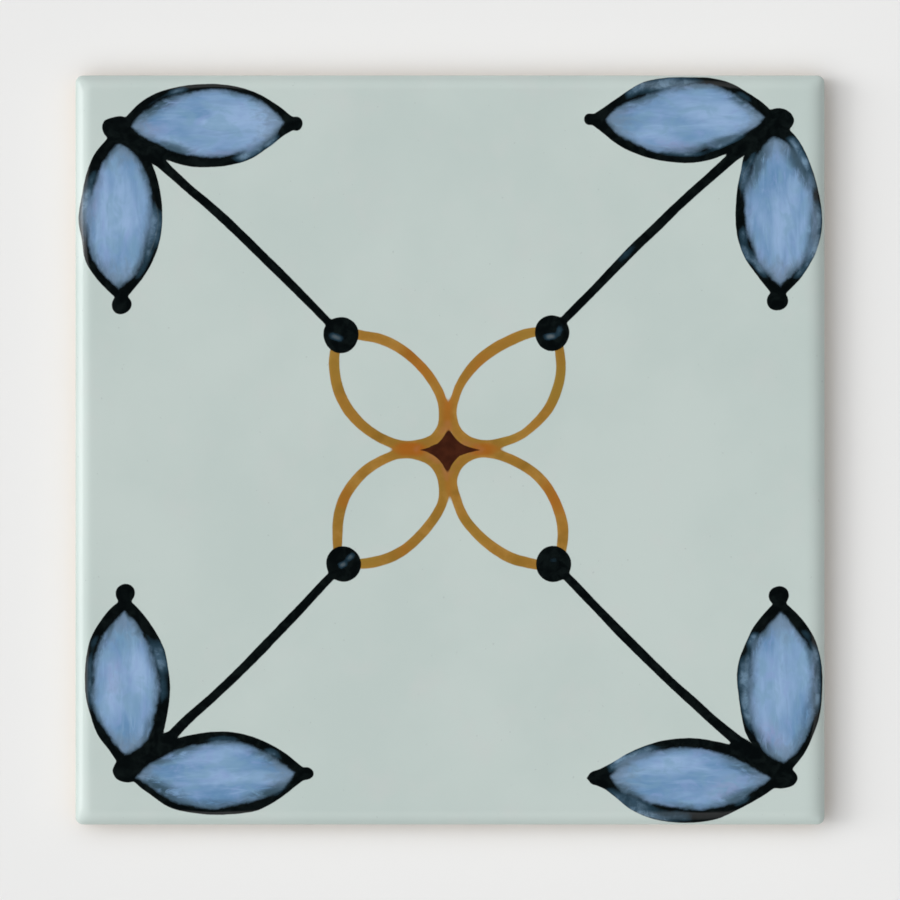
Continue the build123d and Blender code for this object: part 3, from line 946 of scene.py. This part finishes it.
spread_at = math("SUBTRACT", fill_at, math("MAXIMUM", math("MULTIPLY", read("open"), 1.9), scant_and_highlit))
spread = step(spread_at, 1.1, 0.3)
face = blend(spread, ground, wash)
face = blend(step(star_at, 0.12, -0.10), face, umber)
face = blend(step(ochre_at, 0.16, -0.16), face, ochre)
points_at = math("ADD", read("points"), math("MULTIPLY", shake, 0.6))
face = blend(step(points_at, 0.14, -0.14), face, umber)
# the line's outer edge is clean, and its inner one soft where it met the wet wash
soft = math("ADD", fill_at, math("MULTIPLY", math("SUBTRACT", cloth, 0.5), 1.3))
soft = math("SUBTRACT", soft, math("MULTIPLY", scant_and_highlit, 0.75))
lined = math("MULTIPLY", step(ink_at, 0.14, -0.14), step(soft, -0.60, 0.32))
see_through = math("MULTIPLY", math("MULTIPLY", read("open"), spread), step(cloth, 0.36, 0.62, 0.15, 0.42))
lined = math("MULTIPLY", lined, math("SUBTRACT", 1.0, see_through))
face = blend(lined, face, ink)

# the glaze ends part way down the sides in an uneven line, and below it the biscuit shows
run = math("ADD", height, math("MULTIPLY", math("SUBTRACT", noise(coords, 55, 3, 0.6), 0.5), 0.0032))
glazed = step(run, 0.0040, 0.0044)
dust = noise(coords, 700, 4, 0.7)
biscuit = blend(step(dust, 0.35, 0.65), srgb(196, 176, 148), srgb(210, 192, 165))
biscuit = blend(step(noise(coords, 40, 3), 0.40, 0.70, 0.0, 0.5), biscuit, srgb(201, 176, 144))
edge_tint = math("MULTIPLY", step(run, 0.0056, 0.0044), 0.45)
face = blend(edge_tint, face, srgb(176, 178, 164))
colour = blend(glazed, biscuit, face)

painted = step(math("MINIMUM", line_at, ochre_at), 0.15, -0.15)
gloss = math("ADD", 0.20, math("MULTIPLY", painted, -0.05))
gloss = math("ADD", gloss, math("MULTIPLY", math("SUBTRACT", clouds, 0.5), 0.06))
rough = math("ADD", math("MULTIPLY", glazed, gloss), math("MULTIPLY", math("SUBTRACT", 1.0, glazed), 0.86))

# fine relief: orange peel in the glaze, the grain of the biscuit, pinholes
peel = math("MULTIPLY", noise(coords, 520, 2, 0.5), 0.35)
grit = math("MULTIPLY", dust, math("SUBTRACT", 1.0, glazed))
fine = math("ADD", math("MULTIPLY", peel, glazed), math("MULTIPLY", grit, 2.2))
bump = nodes.new("ShaderNodeBump")
bump.inputs["Strength"].default_value = 0.5
bump.inputs["Distance"].default_value = 0.00004
links.new(fine, bump.inputs["Height"])

shader = nodes.new("ShaderNodeBsdfPrincipled")
links.new(colour, shader.inputs["Base Color"])
links.new(rough, shader.inputs["Roughness"])
links.new(bump.outputs["Normal"], shader.inputs["Normal"])
shader.inputs["IOR"].default_value = 1.5
shader.inputs["Specular IOR Level"].default_value = 0.3
out = nodes.new("ShaderNodeOutputMaterial")
links.new(shader.outputs[0], out.inputs["Surface"])
mesh.materials.append(fired)

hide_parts("tile")
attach(tile, "root")

# ---- the stage: a plain pale floor, and a ring of soft light that is brightest on the left ----
floor_mesh = bpy.data.meshes.new("floor")
f = 3.0
floor_mesh.from_pydata([(-f, -f, 0), (f, -f, 0), (f, f, 0), (-f, f, 0)], [], [(0, 1, 2, 3)])
floor = bpy.data.objects.new("floor", floor_mesh)
bpy.context.scene.collection.objects.link(floor)
paper = bpy.data.materials.new("pale_floor")
paper.use_nodes = True
p = paper.node_tree.nodes["Principled BSDF"]
p.inputs["Base Color"].default_value = (0.80, 0.80, 0.795, 1)
p.inputs["Roughness"].default_value = 0.9
p.inputs["Specular IOR Level"].default_value = 0.15
floor_mesh.materials.append(paper)

world = bpy.data.worlds.new("studio")
bpy.context.scene.world = world
world.use_nodes = True
w = world.node_tree
w.nodes.clear()
towards = w.nodes.new("ShaderNodeTexCoord")
part = w.nodes.new("ShaderNodeSeparateXYZ")
w.links.new(towards.outputs["Generated"], part.inputs[0])
# how bright the room is by height, from the horizon up to straight overhead, halved
band = w.nodes.new("ShaderNodeValToRGB")
w.links.new(part.outputs["Z"], band.inputs[0])
stops = [(0.0, 0.06), (0.12, 0.07), (0.25, 0.075), (0.38, 0.10), (0.50, 0.65), (0.62, 0.92), (0.74, 0.78), (0.865, 0.83), (0.95, 0.02)]
while len(band.color_ramp.elements) < len(stops):
    band.color_ramp.elements.new(0.5)
for stop, (at, value) in zip(band.color_ramp.elements, stops):
    stop.position = at
for stop, (at, value) in zip(band.color_ramp.elements, stops):
    stop.color = (value, value, value, 1)


def combine(a, b, c=None):
    """a times b, plus c where it is given."""
    n = w.nodes.new("ShaderNodeMath")
    n.operation = "MULTIPLY" if c is None else "MULTIPLY_ADD"
    for socket, value in zip(n.inputs, (a, b) if c is None else (a, b, c)):
        if hasattr(value, "node"):
            w.links.new(value, socket)
        else:
            socket.default_value = value
    return n.outputs[0]


leftward = combine(part.outputs["X"], -0.744, 1.0)
sideways = combine(combine(part.outputs["Y"], part.outputs["Y"]), -0.75, 1.0)
# and a pale surround low down, the same all round
low = w.nodes.new("ShaderNodeMapRange")
low.interpolation_type = "SMOOTHSTEP"
w.links.new(part.outputs["Z"], low.inputs["Value"])
for socket, value in zip(("From Min", "From Max", "To Min", "To Max"), (0.03, 0.16, 0.80, 0.0)):
    low.inputs[socket].default_value = value
strength = combine(combine(band.outputs["Color"], 2.0), combine(leftward, sideways), low.outputs[0])
sky = w.nodes.new("ShaderNodeBackground")
sky.inputs["Color"].default_value = (1, 1, 1, 1)
w.links.new(strength, sky.inputs["Strength"])
end = w.nodes.new("ShaderNodeOutputWorld")
w.links.new(sky.outputs[0], end.inputs["Surface"])


def aim(obj, at):
    obj.rotation_euler = (Vector(at) - obj.location).to_track_quat("-Z", "Y").to_euler()


key = bpy.data.objects.new("key", bpy.data.lights.new("key", "SUN"))
key.data.energy = 1.17
key.data.angle = np.radians(30)
key.location = (-1.0, 0.08, 0.51)
aim(key, (0, 0, 0))
bpy.context.scene.collection.objects.link(key)

# ---- the camera: straight down, the tile's sides along the picture's ---------------------
eye = bpy.data.cameras.new("eye")
view = bpy.data.objects.new("eye", eye)
bpy.context.scene.collection.objects.link(view)
view.location = (0, 0, 1.6)
view.rotation_euler = (0, 0, 0)
eye.sensor_width = 36.0
eye.lens = 36.0 * (1.6 - 0.008) / 0.240
eye.clip_start, eye.clip_end = 0.05, 50
bpy.context.scene.camera = view
bpy.context.scene.view_settings.view_transform = "Standard"
bpy.context.scene.view_settings.look = "None"
